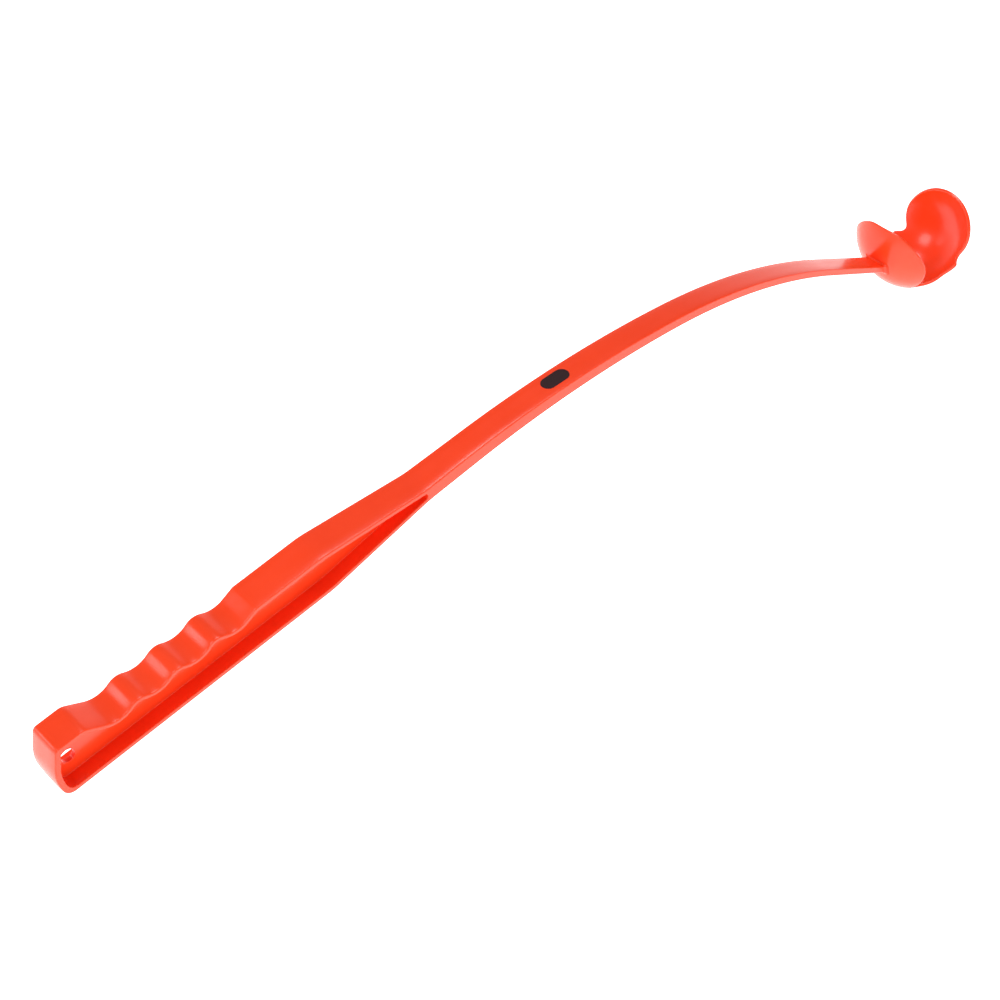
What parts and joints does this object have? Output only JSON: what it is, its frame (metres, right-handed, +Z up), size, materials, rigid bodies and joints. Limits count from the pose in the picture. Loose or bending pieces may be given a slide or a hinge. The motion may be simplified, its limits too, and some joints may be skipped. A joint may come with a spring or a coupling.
{
  "type": "ball launcher",
  "caption": "Hand-held ball launcher: finger-grooved flanged grip, curved whip shaft and an open spring cup whose jaws grip a ball.",
  "frame": {"origin": "middle of the launcher's box, on the floor that it stands on as an arch (heel of the grip and bottom of the cup)", "axes": "+X from the butt of the grip to the cup, +Y across the launcher's width, +Z up, with the finger grooves and the cup's mouth on top"},
  "size_m": [0.6606, 0.0554, 0.08],
  "materials": {
    "moulding": "semi-gloss injection moulding, orange-red",
    "badge_ink": "satin black printed badge, blank"
  },
  "bodies": {
    "launcher": {"end_wall": "moulding", "finger_flange": "moulding", "top_flange": "moulding", "bottom_flange": "moulding", "handle_web": "moulding", "shaft_root": "moulding", "shaft_rear": "moulding", "shaft_front": "moulding", "shaft_neck": "moulding", "badge": "badge_ink", "cup_gusset": "moulding", "cup_back": "moulding", "cup_floor": "moulding"},
    "front_jaw": {"front_jaw": "moulding"},
    "rear_jaw": {"rear_jaw": "moulding"}
  },
  "joints": [
    {"name": "front_jaw_flex", "type": "hinge", "parent": "launcher", "child": "front_jaw", "pos_m": [0.32208, 0, 0.0125], "axis": [0, 1, 0], "range_deg": [0, 4], "stiffness_Nm_per_rad": 4},
    {"name": "rear_jaw_flex", "type": "hinge", "parent": "launcher", "child": "rear_jaw", "pos_m": [0.26026, 0, 0.035], "axis": [0, -1, 0], "range_deg": [0, 3], "stiffness_Nm_per_rad": 4}
  ]
}
